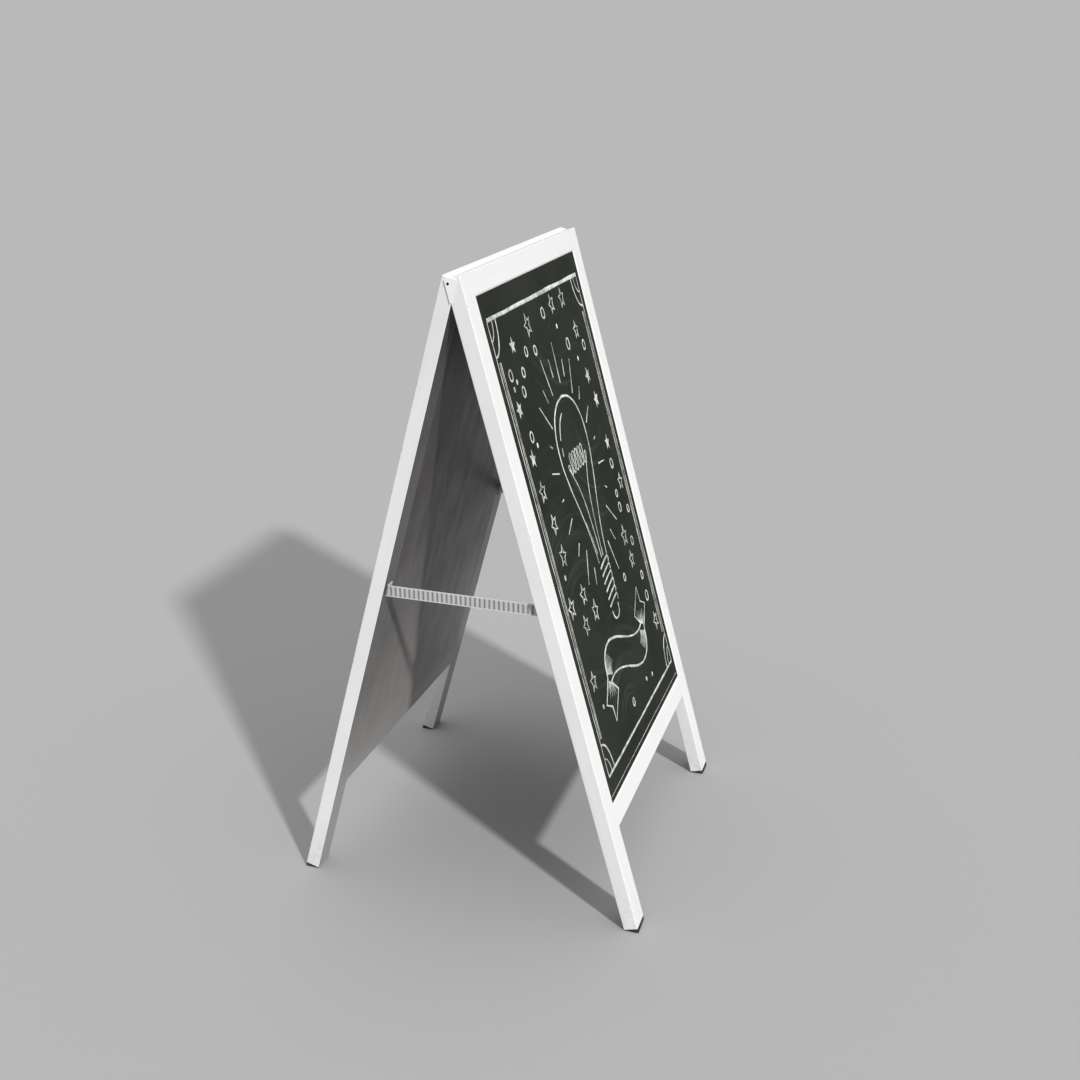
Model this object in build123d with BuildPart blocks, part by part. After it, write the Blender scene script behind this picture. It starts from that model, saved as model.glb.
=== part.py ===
# Folding A-frame sandwich board, in millimetres.
# +Z is up, the ground is Z = 0, the front chalkboard faces -Y and the hinge axis runs along X.
# The origin is on the ground, midway between the four feet.
import os
from math import cos, radians, sin

from build123d import *

os.makedirs("parts", exist_ok=True)

# ---- driving dimensions ---------------------------------------------------------------------
board_width = 600.0          # across the stiles
slope_length = 1150.0        # outer face of a frame, measured up the slope
lean = 15.4                  # degrees of each frame from the vertical
frame_thickness = 25.5       # stiles and rails
stile_width = 43.0
top_rail_height = 39.3
bottom_rail_height = 43.6
leg_length = 178.7           # free leg below the bottom rail
top_above_pivot = 40.5       # top of a frame above the hinge axis, up the slope
pivot_setback = 0.3          # hinge axis to each inner face
mitre_gap = 0.6              # parting line between the two frames
arris = 1.5                  # rounded outer edges
opening_bevel_angle = 60.0   # slope of the bevel round the chalkboard
leg_bevel = 1.0              # bevels between the legs

tenon_length = 25.0
tenon_thickness = 8.0
tenon_shoulder = 7.0         # rail left above and below a tenon
tenon_face = 5.0             # front of a tenon below the outer face
tenon_clearance = 0.1
peg_diameter = 6.0
peg_length = 19.0

board_clearance = 0.3        # round the chalkboard and the backing
board_recess = 1.5           # face of the chalkboard below the frame
chalkboard_thickness = 6.0
backing_thickness = 4.0
batten_width = 15.0
pin_shank = 1.4
pin_head = 2.8
pin_head_height = 0.6
pin_length = 12.0
pins_up = 5                  # on each long side of a backing board
pins_across = 3              # on each short side

foot_thickness = 2.0         # thinnest edge of the rubber wedge
foot_margin = 0.5            # foot inside the end of the leg
nail_shank = 2.5
nail_head = 7.0
nail_head_height = 1.0
nail_length = 24.0
nail_cover = 1.2             # rubber between the leg and the head of the nail
nail_clearance = 0.1

hinge_spacing = 340.0        # centre to centre
hinge_length = 64.0
hinge_height = 30.0          # leaf above the hinge axis
leaf_thickness = 1.2
leaf_face = 0.2              # face of a leaf from the centre plane
knuckle_diameter = 6.0
knuckle_gap = 0.3
hinge_pin_diameter = 3.0
hinge_pin_clearance = 0.05
hinge_pin_head = 4.4
hinge_pin_head_height = 1.0
hinge_clearance = 0.5        # wood round the knuckles and beside a leaf
leaf_screws = 3
leaf_screw_shank = 3.0
leaf_screw_head = 6.0
leaf_screw_length = 12.0
leaf_screw_margin = 11.0     # end of a leaf to its first screw
leaf_screw_low = 12.5        # outer screws of a leaf above the hinge axis
leaf_screw_high = 22.0       # middle screw of a leaf above the hinge axis

plate_thickness = 2.0
plate_gap = 0.4              # plate to the stile that turns behind it
plate_corner = 1.2
plate_screw_shank = 2.4
plate_screw_head = 4.6
plate_screw_length = 16.0
plate_screw_place = (3.9, 32.7)   # out from the centre plane, up from the hinge axis
plate_socket = 2.2           # across the corners of the hexagon socket
plate_socket_depth = 1.2
plate_pin_diameter = 1.8
plate_pin_length = 8.0
plate_pin_place = (2.9, 19.0)

strap_height = 581.0         # centre line above the ground
strap_width = 20.0
strap_thickness = 1.6
strap_tab = 18.0             # turned end that lies on the stile
strap_gap = 0.3              # strap to the frame and to its own turned ends
washer_diameter = 11.0
washer_thickness = 1.0
strap_screw_shank = 4.0
strap_screw_head = 7.6
strap_screw_head_height = 1.2
strap_screw_length = 20.0
screw_clearance = 0.1        # on the diameter of every screw, pin and washer hole

# ---- derived sizes --------------------------------------------------------------------------
lean_sin, lean_cos = sin(radians(lean)), cos(radians(lean))
lean_tan = lean_sin / lean_cos

# outward from the hinge axis, square to the slope
inner_face = pivot_setback
outer_face = inner_face + frame_thickness
backing_face = inner_face + backing_thickness
chalkboard_face = outer_face - board_recess
chalkboard_back = chalkboard_face - chalkboard_thickness
tenon_back = outer_face - tenon_face - tenon_thickness

# up the slope from the hinge axis
foot_end = top_above_pivot - slope_length
rail_bottom = foot_end + leg_length
opening_bottom = rail_bottom + bottom_rail_height
opening_top = top_above_pivot - top_rail_height
opening_middle = (opening_top + opening_bottom) / 2
opening_height = opening_top - opening_bottom

opening_width = board_width - 2 * stile_width
stile_centre = (board_width - stile_width) / 2
pivot_height = foot_thickness - foot_end * lean_cos - inner_face * lean_sin
knuckle_relief = knuckle_diameter / 2 + hinge_clearance

FRONT, REAR = -1, 1          # the side of the centre plane that a frame stands on
LEFT, RIGHT = -1, 1          # seen from the front
frame_names = {FRONT: "front", REAR: "rear"}
side_names = {LEFT: "left", RIGHT: "right"}


# ---- planes ---------------------------------------------------------------------------------
def slope_plane(frame):
    """Plane of one frame through the hinge axis: x across, y up the slope, z outward."""
    return Plane(
        origin=(0, 0, pivot_height),
        x_dir=(-frame, 0, 0),
        z_dir=(0, frame * lean_cos, lean_sin),
    )


def leg_end_plane(frame):
    """Plane of the square leg ends of one frame: x across, y inward, z up the slope."""
    slope = slope_plane(frame)
    return Plane(origin=slope.from_local_coords((0, foot_end, 0)), x_dir=slope.x_dir, z_dir=slope.y_dir)


def across(frame, side):
    """Sign, on the frame's own x, of one side of the object."""
    return -frame * side


def leg_place(frame, side):
    """Middle of a leg on the leg end plane."""
    return (across(frame, side) * stile_centre, -(inner_face + outer_face) / 2)


def export(piece, name):
    """Label a finished piece and write its file."""
    piece.part.label = name
    export_step(piece.part, f"parts/{name}.step")


# ---- shapes that several pieces share -------------------------------------------------------
def studs(start, places, diameter, length, mode=Mode.ADD):
    """Round bodies at several places of one plane."""
    with BuildSketch(start) as circles:
        with Locations(*places):
            Circle(diameter / 2)
    extrude(circles.sketch, amount=length, mode=mode)


def countersunk(starts, shank, head, length, mode=Mode.ADD):
    """Countersunk screws: a flat head lies on each start plane and the shank runs along its z."""
    for start in starts:
        with BuildSketch(start) as rim:
            Circle(head / 2)
        extrude(rim.sketch, amount=(head - shank) / 2, taper=45, mode=mode)
        with BuildSketch(start) as core:
            Circle(shank / 2)
        extrude(core.sketch, amount=length, mode=mode)


def ease_opening(frame):
    """Bevel round the chalkboard, from the outer face down to the board."""
    with BuildSketch(slope_plane(frame).offset(chalkboard_face)) as opening:
        with Locations((0, opening_middle)):
            Rectangle(opening_width, opening_height)
    extrude(opening.sketch, amount=board_recess, taper=-opening_bevel_angle, mode=Mode.SUBTRACT)


def ease_legs(frame):
    """Small bevels between the legs and under the bottom rail, on both faces."""
    for height, outward in ((outer_face - leg_bevel, leg_bevel), (inner_face + leg_bevel, -leg_bevel)):
        with BuildSketch(slope_plane(frame).offset(height)) as gap:
            with Locations((0, rail_bottom - leg_length)):
                Rectangle(opening_width, 2 * leg_length)
        extrude(gap.sketch, amount=outward, taper=-45, mode=Mode.SUBTRACT)


def mitre(frame):
    """Cut off what passes the centre plane, so that the two frames meet along it."""
    meeting = Plane(origin=(0, frame * mitre_gap / 2, 0), x_dir=(1, 0, 0), z_dir=(0, frame, 0))
    split(bisect_by=meeting, keep=Keep.TOP)


def ease_top(piece, frame):
    """Round the arris between the outer face and the top of a frame."""
    corner = slope_plane(frame).from_local_coords((0, top_above_pivot, outer_face))
    along_top = piece.edges().filter_by(Axis.X)
    fillet(along_top.sort_by(lambda edge: (edge.center() - corner).cross(Vector(1, 0, 0)).length)[0], arris)


# ---- places of the fixings ------------------------------------------------------------------
def tenons():
    """Middle and height of the top and bottom tenons, up the slope."""
    return (
        ((opening_top + top_above_pivot) / 2, top_rail_height - 2 * tenon_shoulder),
        ((opening_bottom + rail_bottom) / 2, bottom_rail_height - 2 * tenon_shoulder),
    )


def peg_places():
    """One peg crosses each tenon, midway along its length."""
    peg_x = (opening_width + tenon_length) / 2
    return [(sign * peg_x, middle) for middle, height in tenons() for sign in (-1, 1)]


def pin_places():
    """Panel pins along the middle of the battens: up both sides, and across the ends."""
    side_x = (opening_width - batten_width) / 2
    end_y = (opening_height - batten_width) / 2
    side_step = (opening_height - 4 * batten_width) / (pins_up - 1)
    end_step = opening_width / (pins_across + 2)
    rows = [(index - (pins_up - 1) / 2) * side_step for index in range(pins_up)]
    columns = [(index - (pins_across - 1) / 2) * end_step for index in range(pins_across)]
    sides = [(sign * side_x, opening_middle + row) for sign in (-1, 1) for row in rows]
    ends = [(column, opening_middle + sign * end_y) for sign in (-1, 1) for column in columns]
    return sides + ends


def tab_place(frame, side):
    """Middle of a turned strap end, on the centre line of the inner face of a stile."""
    return (across(frame, side) * stile_centre, (strap_height - pivot_height) / lean_cos)


def tab_places(frame):
    return [tab_place(frame, side) for side in side_names]


def leaf_screw_starts(frame):
    """Head planes of the leaf screws of one frame: the middle one of each leaf stands higher."""
    step = (hinge_length - 2 * leaf_screw_margin) / (leaf_screws - 1)
    starts = []
    for side in side_names:
        for index in range(leaf_screws):
            x = side * hinge_spacing / 2 - hinge_length / 2 + leaf_screw_margin + index * step
            rise = leaf_screw_high if index % 2 else leaf_screw_low
            head_centre = (x, frame * leaf_face, pivot_height + rise)
            starts.append(Plane(origin=head_centre, x_dir=(1, 0, 0), z_dir=(0, frame, 0)))
    return starts


def plate_start(side, place):
    """Plane on the outer side of an end plate, facing into the rear stile."""
    outside = board_width / 2 + plate_gap + plate_thickness
    centre = (side * outside, place[0], pivot_height + place[1])
    return Plane(origin=centre, x_dir=(0, 1, 0), z_dir=(-side, 0, 0))


def cut_plate_fixings(side):
    """Holes for the screw and the pin of an end plate."""
    shank, head = plate_screw_shank + screw_clearance, plate_screw_head + screw_clearance
    countersunk([plate_start(side, plate_screw_place)], shank, head, plate_screw_length, Mode.SUBTRACT)
    hole = plate_pin_diameter + screw_clearance
    studs(plate_start(side, plate_pin_place), [(0, 0)], hole, plate_pin_length, Mode.SUBTRACT)


# ---- timber ---------------------------------------------------------------------------------
def make_stile(frame, side):
    """Upright and leg in one length, with mortises for the two rails."""
    slope = slope_plane(frame)
    with BuildPart() as stile:
        with BuildSketch(leg_end_plane(frame)):
            with Locations(leg_place(frame, side)):
                Rectangle(stile_width, frame_thickness)
        extrude(amount=slope_length)
        outer_side = stile.faces().sort_by(Axis.X)[-1 if side == RIGHT else 0]
        fillet(outer_side.edges().filter_by(lambda edge: edge.length > slope_length / 2), arris)
        ease_top(stile, frame)
        with BuildSketch(slope.offset(tenon_back - tenon_clearance)):
            for middle, height in tenons():
                with Locations((across(frame, side) * (opening_width + tenon_length) / 2, middle)):
                    Rectangle(tenon_length + 2 * tenon_clearance, height + 2 * tenon_clearance)
        extrude(amount=tenon_thickness + 2 * tenon_clearance, mode=Mode.SUBTRACT)
        inner = slope.offset(inner_face)
        studs(inner, peg_places(), peg_diameter, peg_length, Mode.SUBTRACT)
        screw_hole = strap_screw_shank + screw_clearance
        studs(inner, tab_places(frame), screw_hole, strap_screw_length, Mode.SUBTRACT)
        nail_hole = nail_shank + nail_clearance
        nail_depth = nail_length - nail_cover
        studs(leg_end_plane(frame), [leg_place(frame, side)], nail_hole, nail_depth, Mode.SUBTRACT)
        ease_opening(frame)
        ease_legs(frame)
        mitre(frame)
        if frame == REAR:
            cut_plate_fixings(side)
    export(stile, f"{frame_names[frame]}_{side_names[side]}_stile")


def start_rail(frame, low, high, tenon):
    """Bar between the stiles, with a tenon at each end and holes for the pegs."""
    middle, height = tenon
    for width, bottom, top, back, depth in (
        (opening_width, low, high, inner_face, frame_thickness),
        (opening_width + 2 * tenon_length, middle - height / 2, middle + height / 2, tenon_back,
         tenon_thickness),
    ):
        with BuildSketch(slope_plane(frame).offset(back)) as outline:
            with Locations((0, (bottom + top) / 2)):
                Rectangle(width, top - bottom)
        extrude(outline.sketch, amount=depth)
    studs(slope_plane(frame).offset(inner_face), peg_places(), peg_diameter, peg_length, Mode.SUBTRACT)


def cut_hinge_seats(frame):
    """For both hinges: a shallow bed for the leaf, a round groove for the knuckles, screw holes."""
    bed_length = hinge_length + 2 * hinge_clearance
    bed_height = hinge_height + hinge_clearance
    bed_depth = leaf_face + leaf_thickness
    groove_length = bed_length + 2 * hinge_pin_head_height
    for side in side_names:
        x = side * hinge_spacing / 2
        with Locations((x, 0, pivot_height + bed_height / 2)):
            Box(bed_length, 2 * bed_depth, bed_height, mode=Mode.SUBTRACT)
        with Locations(Location((x, 0, pivot_height), (0, 90, 0))):
            Cylinder(knuckle_relief, groove_length, mode=Mode.SUBTRACT)
    shank, head = leaf_screw_shank + screw_clearance, leaf_screw_head + screw_clearance
    countersunk(leaf_screw_starts(frame), shank, head, leaf_screw_length, Mode.SUBTRACT)


def make_rails(frame):
    """Top rail, bevelled on the inside to meet the other frame, and plain bottom rail."""
    top_tenon, bottom_tenon = tenons()
    with BuildPart() as top_rail:
        start_rail(frame, opening_top, top_above_pivot, top_tenon)
        ease_top(top_rail, frame)
        ease_opening(frame)
        mitre(frame)
        cut_hinge_seats(frame)
    export(top_rail, f"{frame_names[frame]}_top_rail")

    with BuildPart() as bottom_rail:
        start_rail(frame, rail_bottom, opening_bottom, bottom_tenon)
        ease_opening(frame)
        ease_legs(frame)
    export(bottom_rail, f"{frame_names[frame]}_bottom_rail")


def make_pegs(frame):
    """Pegs driven from the inner face through the stiles and the tenons."""
    with BuildPart() as pegs:
        studs(slope_plane(frame).offset(inner_face), peg_places(), peg_diameter, peg_length)
        mitre(frame)
    export(pegs, f"{frame_names[frame]}_tenon_pegs")


# ---- boards ---------------------------------------------------------------------------------
def make_battens(frame):
    """Four strips glued round the opening: the boards lie on their front and on their back."""
    end_y = (opening_height - batten_width) / 2
    side_x = (opening_width - batten_width) / 2
    side_length = opening_height - 2 * batten_width
    strips = {
        "top": ((0, opening_middle + end_y), opening_width, batten_width),
        "bottom": ((0, opening_middle - end_y), opening_width, batten_width),
        "left": ((across(frame, LEFT) * side_x, opening_middle), batten_width, side_length),
        "right": ((across(frame, RIGHT) * side_x, opening_middle), batten_width, side_length),
    }
    back = slope_plane(frame).offset(backing_face)
    for name, (place, width, height) in strips.items():
        with BuildPart() as batten:
            with BuildSketch(back):
                with Locations(place):
                    Rectangle(width, height)
            extrude(amount=chalkboard_back - backing_face)
            studs(back, pin_places(), pin_shank, pin_length - backing_thickness, Mode.SUBTRACT)
        export(batten, f"{frame_names[frame]}_{name}_batten")


def make_boards(frame):
    """Chalkboard glued to the front of the battens, and backing pinned to their back."""
    panel_width = opening_width - 2 * board_clearance
    panel_height = opening_height - 2 * board_clearance
    slope = slope_plane(frame)
    with BuildPart() as chalkboard:
        with BuildSketch(slope.offset(chalkboard_back)):
            with Locations((0, opening_middle)):
                Rectangle(panel_width, panel_height)
        extrude(amount=chalkboard_thickness)
    export(chalkboard, f"{frame_names[frame]}_chalkboard")

    notch_length = hinge_length + 2 * (hinge_clearance + hinge_pin_head_height)
    inner = slope.offset(inner_face)
    with BuildPart() as backing:
        with BuildSketch(inner):
            with Locations((0, opening_middle)):
                Rectangle(panel_width, panel_height)
            with Locations((-hinge_spacing / 2, 0), (hinge_spacing / 2, 0)):
                Rectangle(notch_length, 2 * knuckle_relief, mode=Mode.SUBTRACT)
        extrude(amount=backing_thickness)
        mitre(frame)
        studs(inner, pin_places(), pin_head, pin_head_height, Mode.SUBTRACT)
        studs(inner, pin_places(), pin_shank, backing_thickness, Mode.SUBTRACT)
    export(backing, f"{frame_names[frame]}_backing_board")

    with BuildPart() as pins:
        studs(inner, pin_places(), pin_head, pin_head_height)
        studs(inner, pin_places(), pin_shank, pin_length)
    export(pins, f"{frame_names[frame]}_backing_pins")


# ---- feet -----------------------------------------------------------------------------------
def make_feet(frame):
    """Rubber wedges under the legs, level with the ground, each held by one nail."""
    leg_end = leg_end_plane(frame)
    wedge_reach = foot_thickness + frame_thickness * lean_tan + frame_thickness
    hole = nail_shank + nail_clearance
    head_hole = nail_head + nail_clearance
    for side in side_names:
        place = leg_place(frame, side)
        with BuildPart() as foot:
            with BuildSketch(leg_end):
                with Locations(place):
                    Rectangle(stile_width - 2 * foot_margin, frame_thickness - 2 * foot_margin)
            extrude(amount=-wedge_reach)
            studs(leg_end, [place], hole, -wedge_reach, Mode.SUBTRACT)
            studs(leg_end.offset(-nail_cover), [place], head_hole, -wedge_reach, Mode.SUBTRACT)
            split(bisect_by=Plane.XY, keep=Keep.TOP)
        export(foot, f"{frame_names[frame]}_{side_names[side]}_foot")

    places = [leg_place(frame, side) for side in side_names]
    with BuildPart() as nails:
        studs(leg_end.offset(-nail_cover - nail_head_height), places, nail_head, nail_head_height)
        studs(leg_end.offset(-nail_cover), places, nail_shank, nail_length)
    export(nails, f"{frame_names[frame]}_foot_nails")


# ---- hinges ---------------------------------------------------------------------------------
def make_leaf(frame, side):
    """Leaf in the meeting face: the front one has the outer knuckles, the rear one the middle."""
    x = side * hinge_spacing / 2
    middle_y = frame * (leaf_face + leaf_thickness / 2)
    above_knuckle = knuckle_diameter / 2 + knuckle_gap
    third = hinge_length / 3
    if frame == FRONT:
        knuckle_length = third - knuckle_gap / 2
        knuckle_offset = (hinge_length - knuckle_length) / 2
        knuckles = (x - knuckle_offset, x + knuckle_offset)
    else:
        knuckle_length = third - knuckle_gap
        knuckles = (x,)
    with BuildPart() as leaf:
        with Locations((x, middle_y, pivot_height + (hinge_height + above_knuckle) / 2)):
            Box(hinge_length, leaf_thickness, hinge_height - above_knuckle)
        for knuckle_x in knuckles:
            with Locations((knuckle_x, middle_y, pivot_height + above_knuckle / 2)):
                Box(knuckle_length, leaf_thickness, above_knuckle)
            with Locations(Location((knuckle_x, 0, pivot_height), (0, 90, 0))):
                Cylinder(knuckle_diameter / 2, knuckle_length)
        with Locations(Location((x, 0, pivot_height), (0, 90, 0))):
            Cylinder(hinge_pin_diameter / 2 + hinge_pin_clearance, hinge_length, mode=Mode.SUBTRACT)
        shank, head = leaf_screw_shank + screw_clearance, leaf_screw_head + screw_clearance
        countersunk(leaf_screw_starts(frame), shank, head, leaf_screw_length, Mode.SUBTRACT)
    export(leaf, f"{side_names[side]}_hinge_{frame_names[frame]}_leaf")


def make_hinge_pin(side):
    """Pin through the three knuckles, with a small head outside each end."""
    x = side * hinge_spacing / 2
    head_offset = (hinge_length + hinge_pin_head_height) / 2
    with BuildPart() as pin:
        with Locations(Location((x, 0, pivot_height), (0, 90, 0))):
            Cylinder(hinge_pin_diameter / 2, hinge_length + 2 * hinge_pin_head_height)
        for head_x in (x - head_offset, x + head_offset):
            with Locations(Location((head_x, 0, pivot_height), (0, 90, 0))):
                Cylinder(hinge_pin_head / 2, hinge_pin_head_height)
    export(pin, f"{side_names[side]}_hinge_pin")


def make_leaf_screws(frame):
    """Countersunk screws of both leaves of one frame."""
    with BuildPart() as screws:
        countersunk(leaf_screw_starts(frame), leaf_screw_shank, leaf_screw_head, leaf_screw_length)
    export(screws, f"{frame_names[frame]}_leaf_screws")


# ---- end plates -----------------------------------------------------------------------------
def make_end_plate(side):
    """Kite-shaped plate over the joint, fixed to the rear stile and clear of the front one."""
    shoulder_y = top_above_pivot * lean_sin - inner_face * lean_cos
    shoulder_z = pivot_height + top_above_pivot * lean_cos + inner_face * lean_sin
    corners = (
        (0, pivot_height),
        (shoulder_y, shoulder_z),
        (0, pivot_height + top_above_pivot / lean_cos),
        (-shoulder_y, shoulder_z),
    )
    stile_side = side * board_width / 2
    with BuildPart() as plate:
        with BuildSketch(Plane.YZ.offset(stile_side + side * plate_gap)) as kite:
            Polygon(*corners, align=None)
            fillet(kite.vertices(), plate_corner)
        extrude(amount=side * plate_thickness)
        with BuildSketch(Plane.YZ.offset(stile_side)) as seat:
            Polygon(*corners, align=None)
            fillet(seat.vertices(), plate_corner)
            with Locations((-shoulder_y / 2, shoulder_z)):
                Rectangle(shoulder_y + mitre_gap, 4 * top_above_pivot, mode=Mode.SUBTRACT)
        extrude(amount=side * plate_gap)
        cut_plate_fixings(side)
    export(plate, f"{side_names[side]}_end_plate")


def make_plate_fixings():
    """Dark countersunk screw with a hexagon socket, and small pin, of both end plates."""
    with BuildPart() as screws:
        starts = [plate_start(side, plate_screw_place) for side in side_names]
        countersunk(starts, plate_screw_shank, plate_screw_head, plate_screw_length)
        for start in starts:
            with BuildSketch(start):
                RegularPolygon(plate_socket / 2, 6)
            extrude(amount=plate_socket_depth, mode=Mode.SUBTRACT)
    export(screws, "end_plate_screws")

    with BuildPart() as pins:
        for side in side_names:
            studs(plate_start(side, plate_pin_place), [(0, 0)], plate_pin_diameter, plate_pin_length)
    export(pins, "end_plate_pins")


# ---- straps ---------------------------------------------------------------------------------
def make_strap(side):
    """Webbing on edge and level, outside its turned ends, cut to the slope of the frames."""
    from_centre = stile_centre + strap_tab / 2 + strap_gap + strap_thickness / 2

    def reach(height):
        return (pivot_height - height) * lean_tan + (inner_face - strap_gap) / lean_cos

    low, high = strap_height - strap_width / 2, strap_height + strap_width / 2
    with BuildPart() as strap:
        with BuildSketch(Plane.YZ.offset(side * from_centre)):
            Polygon(
                (-reach(low), low), (reach(low), low), (reach(high), high), (-reach(high), high),
                align=None,
            )
        extrude(amount=strap_thickness / 2, both=True)
    export(strap, f"{side_names[side]}_strap")


def make_strap_ends(frame):
    """Turned strap ends flat on the stiles, with a washer and a screw through each."""
    slope = slope_plane(frame)
    on_tab = slope.offset(inner_face - strap_thickness)
    on_washer = slope.offset(inner_face - strap_thickness - washer_thickness)
    under_head = strap_thickness + washer_thickness
    hole = strap_screw_shank + screw_clearance
    for side in side_names:
        with BuildPart() as tab:
            with BuildSketch(on_tab):
                with Locations(tab_place(frame, side)):
                    Rectangle(strap_tab, strap_width)
            extrude(amount=strap_thickness)
            studs(on_tab, tab_places(frame), hole, strap_thickness, Mode.SUBTRACT)
        export(tab, f"{side_names[side]}_strap_{frame_names[frame]}_end")

    with BuildPart() as washers:
        studs(on_washer, tab_places(frame), washer_diameter, washer_thickness)
        studs(on_washer, tab_places(frame), hole, washer_thickness, Mode.SUBTRACT)
    export(washers, f"{frame_names[frame]}_strap_washers")

    with BuildPart() as screws:
        head_start = on_washer.offset(-strap_screw_head_height)
        studs(head_start, tab_places(frame), strap_screw_head, strap_screw_head_height)
        studs(on_washer, tab_places(frame), strap_screw_shank, under_head + strap_screw_length)
    export(screws, f"{frame_names[frame]}_strap_screws")


# ---- assembly -------------------------------------------------------------------------------
for frame in frame_names:
    make_rails(frame)
    make_pegs(frame)
    make_battens(frame)
    make_boards(frame)
    make_feet(frame)
    make_leaf_screws(frame)
    make_strap_ends(frame)
    for side in side_names:
        make_stile(frame, side)
        make_leaf(frame, side)

for side in side_names:
    make_hinge_pin(side)
    make_end_plate(side)
    make_strap(side)

make_plate_fixings()
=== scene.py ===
import math
import random
from collections import namedtuple

import bmesh
import bpy
from mathutils import Matrix, Vector, noise


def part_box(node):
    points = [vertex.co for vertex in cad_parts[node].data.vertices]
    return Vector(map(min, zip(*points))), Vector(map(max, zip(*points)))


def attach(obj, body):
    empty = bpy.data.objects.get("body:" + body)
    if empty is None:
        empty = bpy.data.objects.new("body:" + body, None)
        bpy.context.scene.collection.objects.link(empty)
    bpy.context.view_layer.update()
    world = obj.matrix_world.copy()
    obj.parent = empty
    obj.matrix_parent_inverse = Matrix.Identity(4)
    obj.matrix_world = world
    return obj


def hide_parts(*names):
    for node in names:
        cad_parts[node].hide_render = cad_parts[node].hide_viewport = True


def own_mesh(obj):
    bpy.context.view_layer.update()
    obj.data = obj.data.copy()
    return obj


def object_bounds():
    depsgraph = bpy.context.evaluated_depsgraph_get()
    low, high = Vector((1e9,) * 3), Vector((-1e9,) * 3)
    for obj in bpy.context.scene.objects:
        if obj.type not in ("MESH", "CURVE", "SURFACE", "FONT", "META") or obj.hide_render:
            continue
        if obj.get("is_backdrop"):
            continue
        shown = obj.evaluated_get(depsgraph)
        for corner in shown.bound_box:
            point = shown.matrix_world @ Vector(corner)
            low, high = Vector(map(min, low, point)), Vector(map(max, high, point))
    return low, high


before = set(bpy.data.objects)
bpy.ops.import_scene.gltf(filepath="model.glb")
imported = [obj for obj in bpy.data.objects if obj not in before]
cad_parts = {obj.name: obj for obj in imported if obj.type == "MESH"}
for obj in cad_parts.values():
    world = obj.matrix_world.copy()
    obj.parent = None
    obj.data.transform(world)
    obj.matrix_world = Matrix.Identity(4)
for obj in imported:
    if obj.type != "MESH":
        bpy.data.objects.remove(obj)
cad_low, cad_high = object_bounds()


# ---- Camera ---------------------------------------------------------------------------------
# The board is seen from its left end and a little from above, so that the edges of both frames,
# the joint at the top and the strap between the legs show.
view_azimuth = math.radians(-71.81)
view_elevation = math.radians(20.68)
camera_distance = 2.3822
camera_aim = Vector((0, -0.04323, 0.58961))
camera = bpy.data.objects.new("camera", bpy.data.cameras.new("camera"))
bpy.context.scene.collection.objects.link(camera)
bpy.context.scene.camera = camera
towards_camera = Vector((
    math.sin(view_azimuth) * math.cos(view_elevation),
    -math.cos(view_azimuth) * math.cos(view_elevation),
    math.sin(view_elevation),
))
camera.location = camera_aim + towards_camera * camera_distance
camera.rotation_mode = "QUATERNION"
camera.rotation_quaternion = towards_camera.to_track_quat("Z", "Y")
camera.data.lens = 43.09


# ---- Stiles and rails -----------------------------------------------------------------------
# Each frame is four planed softwood timbers, mortised, pegged and glued, with rounded outer
# arrises. They are brushed with white satin paint. Their inner faces are coloured dark grey as
# painted shade of the inside of the A-frame, deepest up towards the joint, paler over the lower part.
def add_node(material, kind, inputs=None, **settings):
    """Add a node. Each input, by name or number, takes a value, or a link if it is given a socket."""
    node = material.node_tree.nodes.new("ShaderNode" + kind)
    for option, value in settings.items():
        setattr(node, option, value)
    for name, value in (inputs or {}).items():
        if isinstance(value, bpy.types.NodeSocket):
            material.node_tree.links.new(value, node.inputs[name])
        else:
            node.inputs[name].default_value = value
    return node


def start_material(name, roughness, metallic=0.0):
    """A material and its shader, which still waits for its colour."""
    material = bpy.data.materials.new(name)
    material.use_nodes = True
    shader = material.node_tree.nodes["Principled BSDF"]
    shader.inputs["Roughness"].default_value = roughness
    shader.inputs["Metallic"].default_value = metallic
    return material, shader


def feed(material, shader, **sockets):
    """Link what the nodes give to the shader's inputs: base_color=..., roughness=..."""
    for name, source in sockets.items():
        material.node_tree.links.new(source, shader.inputs[name.replace("_", " ").title()])


def calculate(material, operation, first, second=0.0):
    return add_node(material, "Math", {0: first, 1: second}, operation=operation).outputs[0]


def mottle(material, vector, scale, detail=3.0, stretch=(1, 1, 1)):
    """Soft noise between 0 and 1, drawn out along an axis where its stretch is small."""
    place = add_node(material, "Mapping", {"Vector": vector, "Scale": stretch}).outputs[0]
    return add_node(material, "TexNoise", {"Vector": place, "Scale": scale, "Detail": detail}).outputs[0]


def fade(material, value, low, high, start=0.0, end=1.0):
    """A value between low and high becomes one between start and end, and stays within them."""
    limits = {"Value": value, "From Min": low, "From Max": high, "To Min": start, "To Max": end}
    return add_node(material, "MapRange", limits).outputs[0]


def mix_colours(material, share, first, second):
    return add_node(material, "Mix", {0: share, 6: first, 7: second}, data_type="RGBA").outputs[2]


def raise_surface(material, shader, height, depth):
    """Bump: a height between 0 and 1, over a depth in metres."""
    bump = add_node(material, "Bump", {"Height": height, "Distance": depth})
    material.node_tree.links.new(bump.outputs[0], shader.inputs["Normal"])


def shade(red, green, blue):
    """The linear colour of a screen colour between 0 and 255."""
    return tuple(((value / 255 + 0.055) / 1.055) ** 2.4 for value in (red, green, blue)) + (1.0,)


BroadFace = namedtuple("BroadFace", "middle across up outward")


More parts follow.
